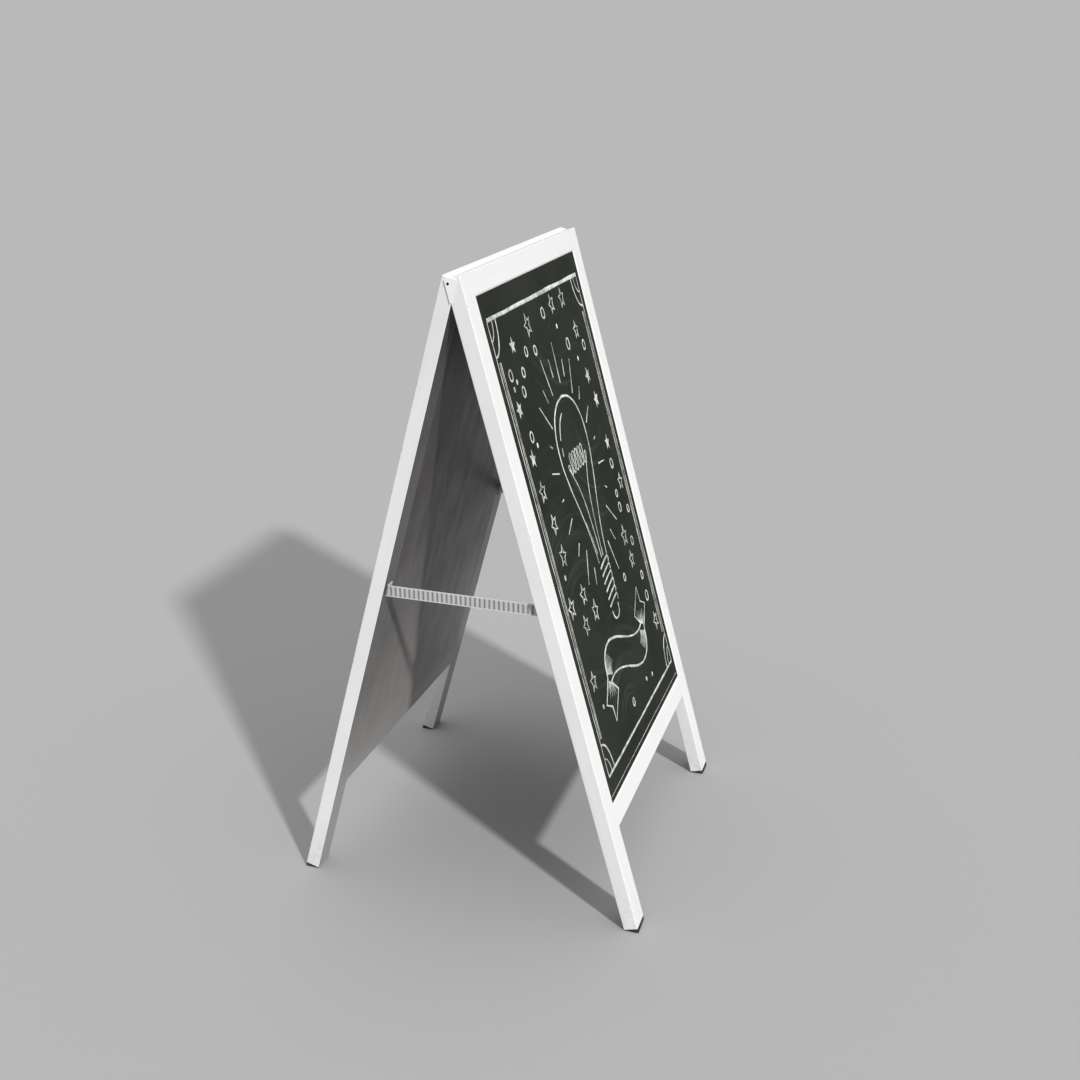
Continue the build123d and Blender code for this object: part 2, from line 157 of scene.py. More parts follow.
def facing(node_name, outward_y):
    """Middle and axes of a panel's broad face towards -Y or +Y."""
    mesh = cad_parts[node_name].data
    face = max(mesh.polygons, key=lambda polygon: polygon.area * (polygon.normal.y * outward_y > 0))
    outward = face.normal.normalized()
    across = Vector((-outward_y, 0, 0))
    up = outward.cross(across)
    level = face.center.dot(outward)
    corners = [v.co for v in mesh.vertices if abs(v.co.dot(outward) - level) < 1e-5]
    offsets = [corner.dot(across) for corner in corners]
    heights = [corner.dot(up) for corner in corners]
    middle = (across * (max(offsets) + min(offsets)) + up * (max(heights) + min(heights))) / 2
    return BroadFace(middle + outward * level, across, up, outward)


sides = {"front": -1, "rear": 1}
front_outward = facing("front_chalkboard", sides["front"]).outward
lean = math.asin(front_outward.z)
stile_depths = [v.co.dot(front_outward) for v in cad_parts["front_left_stile"].data.vertices]
outer_face = max(stile_depths)
inner_face = min(stile_depths)
end_plate_stands_out = 0.0024
half_width = cad_high.x - end_plate_stands_out

# heights over the floor
# the painted shade on the inner faces is full above the first height and least below the second
shade_lifts_from = 0.62
shade_is_least = 0.16
splashes_end = 0.11

# depths in from the outer faces, and from the inner face
arris_starts = 0.0022
arris_is_full = 0.0008
inner_shade_starts = 0.0005
inner_shade_is_full = 0.0003


def painted_inner_shade(material, place, height):
    """Colour of the inner faces: painted shade, dark grey up towards the joint, paler towards the legs."""
    wander = fade(material, mottle(material, place, 7, 5), 0.3, 0.7, -0.05, 0.05)
    uneven_height = calculate(material, "ADD", height, wander)
    uneven_tone = fade(material, mottle(material, place, 22, 5), 0.2, 0.9)
    # dark grey painted shade of the inside of the A-frame, a little uneven at random
    shaded_inside = mix_colours(material, uneven_tone, (0.052, 0.048, 0.046, 1), (0.07, 0.065, 0.062, 1))
    shade_lifted = fade(material, uneven_height, shade_lifts_from, shade_is_least)
    # paler towards the legs, where the painted shade lifts
    return mix_colours(material, shade_lifted, shaded_inside, (0.33, 0.318, 0.311, 1))


def level_with_frame(material, place, frame_side):
    """Object coordinates turned upright with a leaning frame: X across, Y through it, Z up the slope."""
    upright = {"Vector": place, "Rotation": (-frame_side * lean, 0, 0)}
    return add_node(material, "Mapping", upright).outputs[0]


def brushed_white(name, frame_side, stretch):
    """White satin paint over wood grain, with brush marks drawn out along one axis."""
    material, shader = start_material(name, 0.4)
    shader.inputs["Coat Weight"].default_value = 0.15
    shader.inputs["Coat Roughness"].default_value = 0.25
    place = add_node(material, "TexCoord").outputs["Object"]
    levelled = level_with_frame(material, place, frame_side)
    bristles = mottle(material, levelled, 620, 4, stretch)
    grain = mottle(material, levelled, 75, 7, stretch)
    patches = mottle(material, place, 6, 3)
    height = add_node(material, "SeparateXYZ", {0: place}).outputs[2]
    across, depth, _ = add_node(material, "SeparateXYZ", {0: levelled}).outputs

    thicker = fade(material, patches, 0.35, 0.65)
    white = mix_colours(material, thicker, (0.81, 0.81, 0.81, 1), (0.77, 0.77, 0.765, 1))
    white = mix_colours(material, fade(material, grain, 0.55, 0.75, 0, 0.16), white, (0.60, 0.59, 0.57, 1))
    white = mix_colours(material, fade(material, bristles, 0.5, 0.8, 0, 0.10), white, (0.62, 0.62, 0.61, 1))
    specks = fade(material, mottle(material, place, 190, 6), 0.56, 0.70, 0, 0.5)
    smears = fade(material, mottle(material, place, 60, 6), 0.4, 0.8, 0, 0.3)
    grime = calculate(material, "MAXIMUM", specks, smears)
    splashes = calculate(material, "MULTIPLY", grime, fade(material, height, splashes_end, 0.0))
    white = mix_colours(material, splashes, white, (0.30, 0.285, 0.26, 1))

    out_from_middle = calculate(material, "ABSOLUTE", across)
    out_from_joint = calculate(material, "MULTIPLY", depth, frame_side)
    side_edge = fade(material, out_from_middle, half_width - arris_starts, half_width - arris_is_full)
    face_edge = fade(material, out_from_joint, outer_face - arris_starts, outer_face - arris_is_full)
    knocks = fade(material, mottle(material, levelled, 260, 6, (1, 1, 0.35)), 0.60, 0.66)
    rare = fade(material, mottle(material, levelled, 14, 2), 0.50, 0.62)
    arris = calculate(material, "MULTIPLY", side_edge, face_edge)
    chips = calculate(material, "MULTIPLY", calculate(material, "MULTIPLY", arris, knocks), rare)
    painted = mix_colours(material, chips, white, (0.33, 0.25, 0.16, 1))
    # The inner faces take the painted shade of the inside of the A-frame instead of the white.
    inside = fade(material, out_from_joint, inner_face + inner_shade_starts, inner_face + inner_shade_is_full)
    shaded_inside = painted_inner_shade(material, place, height)
    feed(material, shader, base_color=mix_colours(material, inside, painted, shaded_inside),
         roughness=fade(material, patches, 0.3, 0.7, 0.33, 0.47))
    relief = calculate(material, "SUBTRACT", calculate(material, "ADD", bristles, grain), chips)
    raise_surface(material, shader, relief, 0.00013)
    return material


along_slope = (1, 1, 0.025)
along_rail = (0.025, 1, 1)
for frame_name, frame_side in sides.items():
    upright_paint = brushed_white(f"{frame_name}_upright_paint", frame_side, along_slope)
    rail_paint = brushed_white(f"{frame_name}_rail_paint", frame_side, along_rail)
    for timber in ("left_stile", "right_stile", "tenon_pegs"):
        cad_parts[f"{frame_name}_{timber}"].material_slots[0].material = upright_paint
    for timber in ("top_rail", "bottom_rail"):
        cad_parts[f"{frame_name}_{timber}"].material_slots[0].material = rail_paint


# ---- Battens --------------------------------------------------------------------------------
# Bare softwood strips glued round the inside of each opening, between the chalkboard and the
# backing. They are closed in on every side once the sign is made.
def bare_softwood():
    material, shader = start_material("bare_softwood", 0.7)
    place = add_node(material, "TexCoord").outputs["Object"]
    rings = mottle(material, place, 60, 2, (0.1, 1, 1))
    pores = mottle(material, place, 400, 5, (0.05, 1, 1))
    late_wood = fade(material, rings, 0.35, 0.65)
    wood = mix_colours(material, late_wood, (0.62, 0.43, 0.24, 1), (0.48, 0.29, 0.14, 1))
    wood = mix_colours(material, fade(material, pores, 0.5, 0.75), wood, (0.36, 0.20, 0.09, 1))
    feed(material, shader, base_color=wood)
    raise_surface(material, shader, pores, 0.0001)
    return material


softwood = bare_softwood()
for frame_name in sides:
    for batten in ("top", "bottom", "left", "right"):
        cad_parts[f"{frame_name}_{batten}_batten"].material_slots[0].material = softwood


# ---- Backing boards -------------------------------------------------------------------------
# Thin hardboard pinned to the battens, flush with the timber, coloured dark grey with the same painted
# shade as the inner faces of the timber. It is painted with a roller, which leaves a fine stipple.
def rolled_painted_shade():
    material, shader = start_material("rolled_painted_shade", 0.45)
    place = add_node(material, "TexCoord").outputs["Object"]
    height = add_node(material, "SeparateXYZ", {0: place}).outputs[2]
    stipple = mottle(material, place, 750, 2)
    lanes = mottle(material, place, 30, 3, (1, 1, 0.06))
    streaks = fade(material, lanes, 0.45, 0.8, 0, 0.14)
    # the same painted shade as the inner faces of the timber, darkest up towards the joint
    shaded_inside = painted_inner_shade(material, place, height)
    feed(material, shader, base_color=mix_colours(material, streaks, shaded_inside, (0.045, 0.041, 0.039, 1)),
         roughness=fade(material, lanes, 0.3, 0.75, 0.38, 0.52))
    raise_surface(material, shader, stipple, 0.00018)
    return material


backing_paint = rolled_painted_shade()
for frame_name in sides:
    for panel in ("backing_board", "backing_pins"):
        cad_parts[f"{frame_name}_{panel}"].material_slots[0].material = backing_paint


# ---- Chalkboards ----------------------------------------------------------------------------
# Smooth board with matt, greenish-black chalkboard paint. Old chalk has been wiped off it with a
# cloth, in circles, which leaves faint pale arcs and clouds.
wiping_centres = ((-0.10, 0.76), (0.14, 0.42), (-0.06, 1.02), (0.05, 0.20))
cloth_reach = 0.42
cloth_is_firm = 0.12


def wiped_black(name, frame_side):
    material, shader = start_material(name, 0.85)
    shader.inputs["Specular IOR Level"].default_value = 0.12
    place = add_node(material, "TexCoord").outputs["Object"]
    levelled = level_with_frame(material, place, frame_side)
    clouds = fade(material, mottle(material, levelled, 6, 4), 0.38, 0.68)
    haze = calculate(material, "MULTIPLY", clouds, 0.28)
    for number, (x, z) in enumerate(wiping_centres):
        flat = {"Vector": levelled, "Scale": (1, 0, 1), "Location": (-x * frame_side, 0.37 * number, -z)}
        around = add_node(material, "Mapping", flat).outputs[0]
        centred = add_node(material, "Mapping", {"Vector": around, "Scale": (1, 0, 1)}).outputs[0]
        reach = add_node(material, "VectorMath", {0: centred}, operation="LENGTH").outputs["Value"]
        slow = add_node(material, "Mapping", {"Vector": around, "Scale": (0.05, 0, 0.05)}).outputs[0]
        outward = add_node(material, "CombineXYZ", {1: reach}).outputs[0]
        rings = add_node(material, "VectorMath", {0: outward, 1: slow}, operation="ADD").outputs[0]
        streaks = fade(material, mottle(material, rings, 95, 5), 0.47, 0.72)
        patch = fade(material, mottle(material, around, 4.5, 2), 0.45, 0.62)
        near = fade(material, reach, cloth_reach, cloth_is_firm)
        arc = calculate(material, "MULTIPLY", calculate(material, "MULTIPLY", streaks, patch),
                        calculate(material, "MULTIPLY", near, 0.75))
        haze = calculate(material, "MAXIMUM", haze, arc)
    grit = mottle(material, levelled, 1100, 2)
    black = mix_colours(material, fade(material, grit, 0.4, 0.7), shade(29, 32, 26), shade(35, 38, 31))
    feed(material, shader, base_color=mix_colours(material, haze, black, shade(63, 67, 60)),
         roughness=fade(material, haze, 0.0, 0.8, 0.74, 0.94))
    raise_surface(material, shader, grit, 0.00012)
    return material


for frame_name, frame_side in sides.items():
    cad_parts[f"{frame_name}_chalkboard"].material_slots[0].material = wiped_black(
        f"{frame_name}_wiped_black", frame_side)


# ---- Chalk drawing --------------------------------------------------------------------------
# A drawing in white chalk on each board: a ruled border with rounded corners, a lamp with dashes
# of light round it, an empty ribbon, stars and rings. The lines are a thin crust of chalk, worn
# through to the board in places.
chalk_thickness = 0.0004
crumble = 0.0005
noise.seed_set(5)


def chalk_crust():
    material, shader = start_material("chalk", 0.95)
    place = add_node(material, "TexCoord").outputs["Object"]
    grains = mottle(material, place, 1500, 3)
    rubbed = mottle(material, place, 45, 5)
    bare = fade(material, grains, 0.60, 0.44)
    worn = calculate(material, "MULTIPLY", bare, fade(material, rubbed, 0.60, 0.38, 0.12, 1))
    feed(material, shader, base_color=mix_colours(material, worn, shade(222, 225, 216), shade(96, 100, 92)))
    raise_surface(material, shader, grains, 0.0004)
    return material


chalk = chalk_crust()


class ChalkDrawing:
    """Strokes on one board, in millimetres from its middle: x to the right, y up the slope.

    The hand shakes, so each point of a stroke is a little off.
    """

    shake = 0.4

    def __init__(self, name, board, seed):
        self.name = name
        self.board = board
        self.hand = random.Random(seed)
        self.curve = bpy.data.curves.new(name, "CURVE")
        self.curve.dimensions = "3D"
        self.curve.bevel_depth = 0.001
        self.curve.bevel_resolution = 1
        self.curve.use_fill_caps = True
        self.curve.resolution_u = 5

    def stroke(self, points, width, closed=False, smooth=True, thin_end=1.0):
        """One line of a width in millimetres. It may grow thinner towards its end."""
        spline = self.curve.splines.new("BEZIER")
        spline.bezier_points.add(len(points) - 1)
        spline.use_cyclic_u = closed
        for number, (x, y) in enumerate(points):
            knot = spline.bezier_points[number]
            x += self.hand.uniform(-self.shake, self.shake)
            y += self.hand.uniform(-self.shake, self.shake)
            knot.co = (x / 1000, y / 1000, 0)
            knot.handle_left_type = knot.handle_right_type = "AUTO" if smooth else "VECTOR"
            share = number / (len(points) - 1)
            knot.radius = width / 2 * self.hand.uniform(0.8, 1.1) * (1 - share + share * thin_end)

    def ruled(self, start, end, width):
        """A long ruled line, whose width changes a little along the way."""
        knot_spacing = 40
        steps = max(2, round(math.dist(start, end) / knot_spacing))
        run, rise = end[0] - start[0], end[1] - start[1]
        points = [(start[0] + run * i / steps, start[1] + rise * i / steps) for i in range(steps + 1)]
        self.stroke(points, width)

    def arc(self, middle, reach, start, end, width):
        """Part of an ellipse, between two angles in degrees."""
        angles = [math.radians(start + (end - start) * i / 6) for i in range(7)]
        self.stroke([(middle[0] + reach[0] * math.cos(angle), middle[1] + reach[1] * math.sin(angle))
                     for angle in angles], width)

    def ring(self, middle, reach, width):
        angles = [math.tau * i / 6 for i in range(6)]
        self.stroke([(middle[0] + reach[0] * math.cos(angle), middle[1] + reach[1] * math.sin(angle))
                     for angle in angles], width, closed=True)

    def star(self, middle, size, turn, width, waist=0.42):
        """Five points, a little taller than wide. Its inner corners lie at waist times its size."""
        corners = []
        for i in range(10):
            reach = size * (waist if i % 2 else 1)
            angle = math.radians(90 + turn + 36 * i)
            corners.append((middle[0] + reach * 0.76 * math.cos(angle), middle[1] + reach * math.sin(angle)))
        self.stroke(corners, width, closed=True, smooth=False)

    def lay_down(self, body):
        """Flatten the strokes to a thin crust with crumbling edges, on the board."""
        line = bpy.data.objects.new(self.name + "_line", self.curve)
        bpy.context.scene.collection.objects.link(line)
        bpy.context.view_layer.update()
        mesh = bpy.data.meshes.new_from_object(line.evaluated_get(bpy.context.evaluated_depsgraph_get()))
        bpy.data.objects.remove(line)
        thickest = max(abs(v.co.z) for v in mesh.vertices)
        for vertex in mesh.vertices:
            vertex.co += noise.noise_vector(vertex.co * 700) * crumble
            vertex.co.z *= chalk_thickness / thickest
        axes = Matrix((self.board.across, self.board.up, self.board.outward)).transposed().to_4x4()
        mesh.transform(Matrix.Translation(self.board.middle) @ axes)
        mesh.materials.clear()
        mesh.materials.append(chalk)
        drawing = bpy.data.objects.new(self.name, mesh)
        bpy.context.scene.collection.objects.link(drawing)
        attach(drawing, body)


glow_middle = 78
ribbon_middle = -272


def draw_border(drawing):
    """Broad lines along the top and bottom, three fine ones up each side, and double corner arcs."""
    half_across, half_up = 240, 402
    corner = (36, 60)
    fine_lines_reach = half_up - corner[1] - 9
    for side, broad in ((-1, 5.2), (1, 8.4)):
        drawing.ruled((-half_across, side * half_up), (half_across, side * half_up), broad)
        drawing.ruled((side * half_across, -half_up), (side * half_across, half_up), 2.8)
        for inset in (7.5, 12.5):
            x = side * (half_across - inset)
            drawing.ruled((x, -fine_lines_reach), (x, fine_lines_reach), 2.1)
        for end in (-1, 1):
            for share, width in ((1.0, 4.2), (0.56, 2.8)):
                drawing.arc((side * half_across, end * half_up),
                            (-side * corner[0] * share, -end * corner[1] * share), 0, 90, width)
    hairline_across, hairline_down = 253, -434
    drawing.ruled((-hairline_across, hairline_down), (hairline_across, hairline_down), 1.4)


def draw_lamp(drawing):
    """A long glass bulb on a screw cap, a coiled wire inside it, and dashes of light all round."""
    glass = [(-25, -86), (-29, -50), (-46, 10), (-69, 72), (-80, 128), (-68, 182), (-36, 212), (0, 221)]
    for side in (-1, 1):
        drawing.stroke([(side * x, y) for x, y in glass[::-1]], 5.2, thin_end=0.6)
        drawing.stroke([(side * 5, -82), (side * 9, -20), (side * 24, 52), (side * 48, 96)], 3.0)
        drawing.ring((side * 48, 102), (4, 5), 3.0)
    drawing.stroke([(-20, -70), (-24, -48), (-38, -2)], 2.6, thin_end=0.5)
    drawing.arc((0, 128), (61, 70), 108, 158, 3.6)
    drawing.arc((0, 128), (61, 70), 168, 180, 3.4)
    coil = [(-40 + 8 * i, 106 + (19 if i % 2 else -19)) for i in range(11)]
    drawing.stroke([(-45, 102), *coil, (45, 102)], 3.8)
    thread_pitch, turns, highest_thread = 15, 6, -92
    for turn in range(turns):
        y = highest_thread - turn * thread_pitch
        drawing.stroke([(-25, y - 6), (0, y), (25, y + 4)], 5.0)
        drawing.stroke([(25, y + 4), (27, y - 2), (24, y - 8)], 3.0)
    drawing.stroke([(-20, -182), (-15, -196), (0, -203), (15, -196), (20, -180)], 4.4)
    dashes = 22
    first_angle, fan = -62, 304
    glow_across, glow_up = 104, 166
    for number in range(dashes):
        angle = math.radians(first_angle + fan * number / (dashes - 1))
        start, end = (1.0, 1.44) if number % 2 == 0 else (1.1, 1.3)
        if abs(math.sin(angle)) < 0.5:
            end -= 0.1
        x, y = glow_across * math.cos(angle), glow_up * math.sin(angle)
        dash = [(x * reach, glow_middle + y * reach) for reach in (start, (start + end) / 2, end)]
        drawing.stroke(dash, 3.8, thin_end=0.65)


def draw_ribbon(drawing):
    """An empty ribbon in a wave, folded behind at each end, with forked tails and hatched folds."""
    lower_edge = [(0, -30), (50, -50), (92, -54), (120, -37), (128, -7)]
    upper_edge = [(0, 30), (34, 16), (68, 6), (98, 4), (114, 8)]
    tail = [(114, 8), (90, 33), (138, 74), (140, 44), (165, 30), (140, 6), (127, -6)]
    for turn in (-1, 1):
        def place(points):
            return [(turn * x, ribbon_middle + turn * y) for x, y in points]

        drawing.stroke(place(lower_edge), 5.0)
        drawing.stroke(place(upper_edge), 5.0)
        drawing.stroke(place(tail), 4.2, smooth=False)
        for number in range(9):
            share = number / 8
            start = (100 + 25 * share, -11 * share)
            bend = (97 + 24 * share, -12 - 15 * share)
            end = (84 + 22 * share, -22 - 22 * share)
            drawing.stroke(place([start, bend, end]), 2.8, thin_end=0.25)
            root = (112 + 14 * share, 10 - 9 * share)
            tip = (100 + 46 * share, 30 - 10 * share + 7 * (number % 2))
            drawing.stroke(place([root, tip]), 2.6, thin_end=0.3)


def draw_sky(drawing):
    """Stars, rings and dots strewn round the lamp, clear of it, of the ribbon and of each other."""
    room_for = {"outline": 26, "solid": 22, "ring": 13, "dot": 9}
    rounds, tries = 9, 80
    placed = []
    for kind in ["outline", "solid", "outline", "ring", "ring", "dot"] * rounds:
        for _ in range(tries):
            x, y = drawing.hand.uniform(-208, 208), drawing.hand.uniform(-372, 376)
            room = room_for[kind]
            off_lamp = (x / (158 + room)) ** 2 + ((y - glow_middle) / (243 + room)) ** 2 > 1
            off_ribbon = not (abs(x) < 168 + room and abs(y - ribbon_middle) < 76 + room)
            off_cap = not (abs(x) < 60 and -230 < y < 0)
            off_corner = not (abs(x) > 176 and abs(y) > 318)
            clear = all(math.dist((x, y), spot) > room + other for *spot, other in placed)
            if off_lamp and off_ribbon and off_cap and off_corner and clear:
                break
        else:
            continue
        placed.append((x, y, room))
        turn = drawing.hand.uniform(-16, 16)
        if kind == "outline":
            drawing.star((x, y), drawing.hand.uniform(17, 21), turn, 4.0)
        elif kind == "solid":
            size = drawing.hand.uniform(13, 16)
            drawing.star((x, y), size, turn, 4.8, 0.34)
            drawing.star((x, y), size * 0.5, turn, 6.0, 0.34)
        elif kind == "ring":
            size = drawing.hand.uniform(6.5, 10.5)
            drawing.ring((x, y), (size * 0.76, size), 3.8)
        else:
            drawing.ring((x, y), (1.8, 2.8), 4.4)


for frame_name, frame_side in sides.items():
    board = facing(f"{frame_name}_chalkboard", frame_side)
    for number, draw in enumerate((draw_border, draw_lamp, draw_ribbon, draw_sky)):
        subject = draw.__name__.removeprefix("draw_")
        drawing = ChalkDrawing(f"{frame_name}_chalk_{subject}", board, 40 + 7 * frame_side + number)
        draw(drawing)
        drawing.lay_down(f"{frame_name}_frame")


# ---- Hinges, end plates and nails -----------------------------------------------------------
# Two zinc plated butt hinges in the joint, a white powder coated plate over each end of it with
# a blackened screw and a pin, and bright nails through the feet.
def metal(name, colour, roughness, metallic, scale, relief):
    material, shader = start_material(name, roughness, metallic)
    place = add_node(material, "TexCoord").outputs["Object"]
    marks = mottle(material, place, scale, 5)
    duller = tuple(channel * 0.82 for channel in colour[:3]) + (1.0,)
    dull = fade(material, marks, 0.4, 0.65)
    feed(material, shader, base_color=mix_colours(material, dull, colour, duller),
         roughness=fade(material, marks, 0.3, 0.7, roughness * 0.8, roughness * 1.25))
    raise_surface(material, shader, marks, relief)
    return material


def soften(node, width):
    """Break the sharp edges of a CAD piece, once its loose triangles are joined."""
    weld = node.modifiers.new("weld", "WELD")
    weld.merge_threshold = 0.000002
    bevel = node.modifiers.new("soft_edges", "BEVEL")
    bevel.width = width
    bevel.segments = 2
    bevel.limit_method = "ANGLE"
    bevel.angle_limit = math.radians(40)


zinc = metal("zinc_plate", (0.62, 0.62, 0.64, 1), 0.34, 1.0, 300, 0.00003)
powder_coat = metal("white_powder_coat", (0.93, 0.93, 0.93, 1), 0.36, 0.0, 1300, 0.00001)
blackened = metal("blackened_steel", (0.02, 0.02, 0.022, 1), 0.42, 0.6, 500, 0.00003)
for node_name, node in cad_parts.items():
    if "hinge" in node_name or node_name.endswith(("leaf_screws", "foot_nails")):
        node.material_slots[0].material = zinc
    elif node_name.endswith("end_plate") or node_name == "end_plate_pins":
        node.material_slots[0].material = powder_coat
        soften(node, 0.0003)
    elif node_name == "end_plate_screws":
        node.material_slots[0].material = blackened


# ---- Feet -----------------------------------------------------------------------------------
# Moulded rubber wedges, nailed under the square ends of the legs, so that they stand flat on the
# floor. They are dusty near the ground.
def moulded_rubber():
    material, shader = start_material("foot_rubber", 0.72)
    place = add_node(material, "TexCoord").outputs["Object"]
    pores = mottle(material, place, 900, 3)
    dust = mottle(material, place, 70, 5)
    height = add_node(material, "SeparateXYZ", {0: place}).outputs[2]
    near_ground = fade(material, height, 0.006, 0.0, 0.25, 1)
    dusty = calculate(material, "MULTIPLY", fade(material, dust, 0.42, 0.7), near_ground)
    black = (0.014, 0.014, 0.015, 1)
    feed(material, shader, base_color=mix_colours(material, dusty, black, (0.11, 0.105, 0.098, 1)))
    raise_surface(material, shader, pores, 0.00015)
    return material


rubber = moulded_rubber()
for node_name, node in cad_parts.items():
    if node_name.endswith("_foot"):
        node.material_slots[0].material = rubber
        soften(node, 0.0006)


# ---- Straps ---------------------------------------------------------------------------------
# Grey ribbed webbing on edge between the stiles, 20 mm wide, with a pale selvedge along each
# edge. Its ends turn in and lie flat on the inner faces of the stiles.
rib_pitch = 0.0084
rib_depth = 0.00035
columns_per_rib = 8
selvedge_starts = 0.41
selvedge_hollow = 0.35
bend_radius = 0.0016


def ribbed_webbing():
    material, shader = start_material("ribbed_webbing", 0.85)
    shader.inputs["Sheen Weight"].default_value = 0.2
    weave = add_node(material, "UVMap", uv_map="weave").outputs[0]
    along, across, _ = add_node(material, "SeparateXYZ", {0: weave}).outputs
    half_turns = calculate(material, "MULTIPLY", along, math.pi)
    wave = calculate(material, "ABSOLUTE", calculate(material, "SINE", half_turns))
    off_centre = calculate(material, "ABSOLUTE", calculate(material, "SUBTRACT", across, 0.5))
    selvedge = fade(material, off_centre, 0.40, 0.43)
    threads = mottle(material, weave, 28, 3, (1, 2.4, 1))
    bands = {"Vector": weave, "Scale": 7.0, "Distortion": 1.2}
    picks = add_node(material, "TexWave", bands, bands_direction="Y")
    # Crests of the ribs lighter and the hollows between them darker: painted shade of the ribs.
    crest = fade(material, wave, 0.12, 0.95)
    yarn_with_rib_shade = mix_colours(material, crest, shade(112, 111, 112), shade(205, 205, 206))
    yarn_with_rib_shade = mix_colours(material, fade(material, threads, 0.42, 0.8, 0, 0.4), yarn_with_rib_shade, shade(120, 119, 120))
    feed(material, shader, base_color=mix_colours(material, selvedge, yarn_with_rib_shade, shade(214, 214, 213)))
    raise_surface(material, shader, calculate(material, "ADD", picks.outputs["Fac"], threads), 0.00018)
    return material


def woven_strip(length, width, thickness):
    """A flat ribbed strip along X from 0, its width along Y, with faces marked in ribs and widths."""
    columns = round(length / rib_pitch * columns_per_rib)
    bm = bmesh.new()
    weave = bm.loops.layers.uv.new("weave")
    bmesh.ops.create_grid(bm, x_segments=columns, y_segments=14, size=0.5)
    bmesh.ops.scale(bm, verts=bm.verts, vec=(length, width, 1))
    bmesh.ops.translate(bm, verts=bm.verts, vec=(length / 2, 0, 0))
    for face in bm.faces:
        for loop in face.loops:
            loop[weave].uv = (loop.vert.co.x / rib_pitch, loop.vert.co.y / width + 0.5)
    bmesh.ops.solidify(bm, geom=bm.faces[:], thickness=thickness)
    middle = sum(v.co.z for v in bm.verts) / len(bm.verts)
    bmesh.ops.translate(bm, verts=bm.verts, vec=(0, 0, -middle))
    for vert in bm.verts:
        hollow = 1 - abs(math.sin(math.pi * vert.co.x / rib_pitch))
        if abs(vert.co.y) > width * selvedge_starts:
            hollow = selvedge_hollow
        vert.co.z -= math.copysign(hollow * rib_depth, vert.co.z)
    bmesh.ops.recalc_face_normals(bm, faces=bm.faces)
    return bm


def new_piece(bm, name, material, sharp_angle):
    """Make an object of a finished shape, smooth but for its edges over an angle in degrees."""
    mesh = bpy.data.meshes.new(name)
    bmesh.ops.recalc_face_normals(bm, faces=bm.faces)
    bm.to_mesh(mesh)
    bm.free()
    mesh.materials.append(material)
    mesh.shade_smooth()
    mesh.set_sharp_from_angle(angle=math.radians(sharp_angle))
    piece = bpy.data.objects.new(name, mesh)
    bpy.context.scene.collection.objects.link(piece)
    return piece


def finish_webbing(bm, name, body, node_name):
    piece = new_piece(bm, name, webbing, 50)
    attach(piece, body)
    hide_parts(node_name)
    return piece


webbing = ribbed_webbing()
for side_name, side in (("left", -1), ("right", 1)):
    low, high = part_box(f"{side_name}_strap")
    middle = (low + high) / 2
    thickness = high.x - low.x
    width = high.z - low.z
    for frame_name, frame_side in sides.items():
        tab_low, tab_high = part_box(f"{side_name}_strap_{frame_name}_end")
        board = facing(f"{frame_name}_chalkboard", frame_side)
        into_timber = board.outward
        up_slope = board.up
        at_face = Vector((middle.x, frame_side * high.y, low.z))
        at_face += up_slope * (width / 2 / math.cos(lean))
        at_face += into_timber * (inner_face - at_face.dot(into_timber))

        # the run, as far as the middle of the strap
        bm = woven_strip(high.y, width, thickness)
        axes = Matrix(((0, frame_side, 0), (0, 0, 1), (1, 0, 0))).transposed().to_4x4()
        lie = Matrix.Translation((middle.x, 0, middle.z)) @ axes
        bmesh.ops.transform(bm, verts=bm.verts, matrix=lie)
        stop = at_face - into_timber * (thickness + bend_radius)
        cut = bmesh.ops.bisect_plane(bm, geom=bm.verts[:] + bm.edges[:] + bm.faces[:], plane_co=stop,
                                     plane_no=into_timber, clear_outer=True)
        cut_edges = [part for part in cut["geom_cut"] if isinstance(part, bmesh.types.BMEdge)]
        bmesh.ops.holes_fill(bm, edges=cut_edges)
        run = finish_webbing(bm, f"{side_name}_strap_{frame_name}_run", f"{frame_name}_frame",
                             f"{side_name}_strap")
        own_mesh(run)

        # the end, bent round a quarter turn and laid on the stile
        flat = abs(middle.x) - min(abs(tab_low.x), abs(tab_high.x)) - bend_radius
        quarter = bend_radius * math.pi / 2
        bm = woven_strip(bend_radius + quarter + flat, width, thickness)
        for vert in bm.verts:
            distance, off = vert.co.x - bend_radius, vert.co.z
            if distance < 0:
                inward, clear = off, thickness / 2 + bend_radius - distance
            elif distance < quarter:
                turn = distance / bend_radius
                inward = bend_radius - (bend_radius - off) * math.cos(turn)
                clear = thickness / 2 + bend_radius - (bend_radius - off) * math.sin(turn)
            else:
                inward, clear = bend_radius + distance - quarter, thickness / 2 + off
            vert.co = at_face + Vector((-side * inward, 0, 0)) + up_slope * vert.co.y - into_timber * clear
        finish_webbing(bm, f"{side_name}_strap_{frame_name}_tab", f"{frame_name}_frame",
                       f"{side_name}_strap_{frame_name}_end")


# ---- Strap washers and screws ---------------------------------------------------------------
# Each end of a strap is held to the middle of its stile by a zinc plated washer and a pan head
# screw with a cross recess.
turned_steps = 32
rim_thickness = 0.0012
washer_hole = 0.0022
washer_edge = 0.0002
head_height = 0.0012
screw_shank = 0.0017
screw_length = 0.016
screw_point = 0.003
screw_tip = 0.0002
dome_angles = (32, 48, 64, 78, 90)
recess_rim = 0.06
recess_from, recess_to = 22, 68
recess_waist = 0.42
recess_taper = 0.7
recess_depth = 0.8


def finish_fixing(bm, name, frame_name, node_name):
    piece = new_piece(bm, name, zinc, 35)
    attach(piece, f"{frame_name}_frame")
    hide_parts(node_name)


